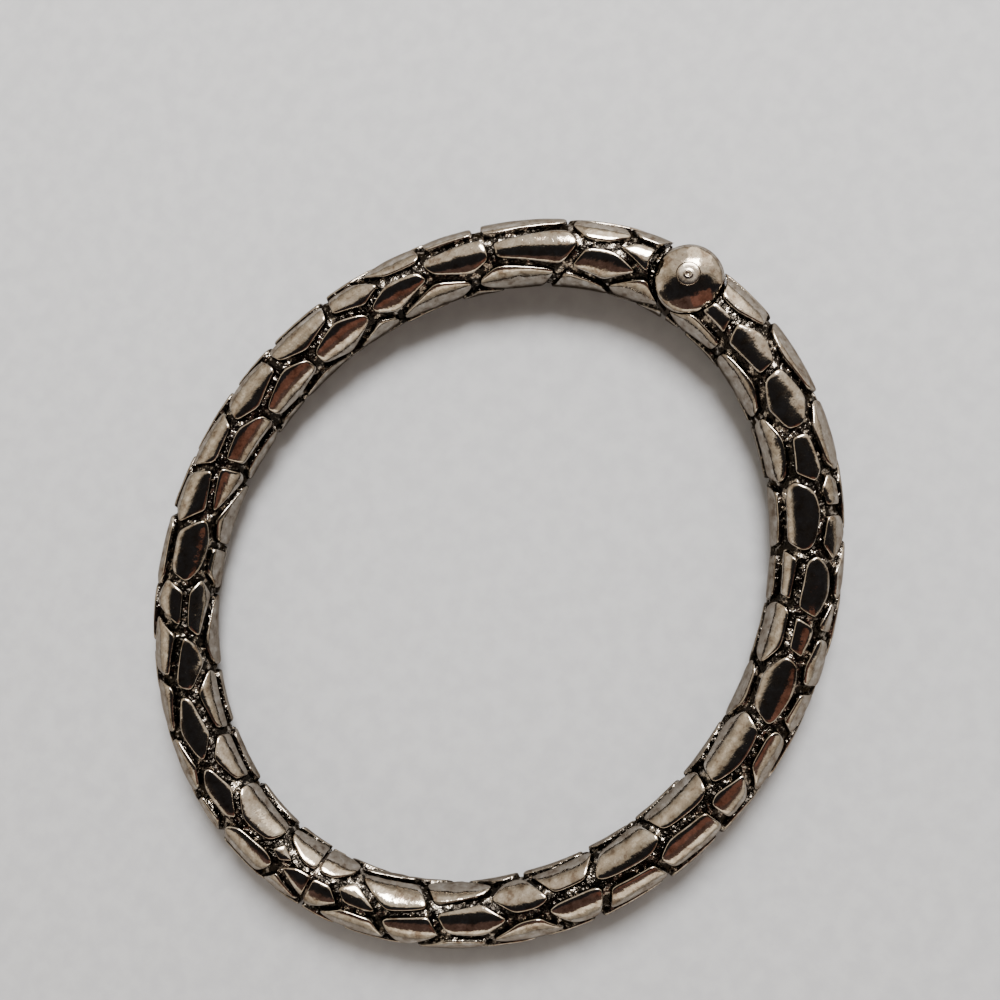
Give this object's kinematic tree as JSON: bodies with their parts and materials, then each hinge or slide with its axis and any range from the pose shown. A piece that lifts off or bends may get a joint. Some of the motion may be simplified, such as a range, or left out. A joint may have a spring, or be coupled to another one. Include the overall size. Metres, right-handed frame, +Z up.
{
  "type": "snake bracelet",
  "caption": "Hinged oval bangle of cast metal with a raised, irregular snakeskin scale relief all round, a domed hinge knuckle with a rivet, and a plain snap seam.",
  "frame": {"origin": "bottom centre of the bounding box, on the surface that the bangle lies on", "axes": "+X from the clasp seam to the hinge, +Z up through the wrist opening"},
  "size_m": [0.0766, 0.066, 0.0072],
  "materials": {
    "cast_metal": "nickel-plated and polished, oxidised black in the grooves",
    "pin_metal": "polished"
  },
  "bodies": {
    "right": {"right_half": "cast_metal", "hinge_pin": "pin_metal", "clasp_peg": "pin_metal"},
    "left": {"left_half": "cast_metal"}
  },
  "joints": [
    {"name": "hinge", "type": "hinge", "parent": "right", "child": "left", "pos_m": [0.03496, 0.00068, 0.00352], "axis": [0, 0, -1], "range_deg": [0, 65]}
  ]
}
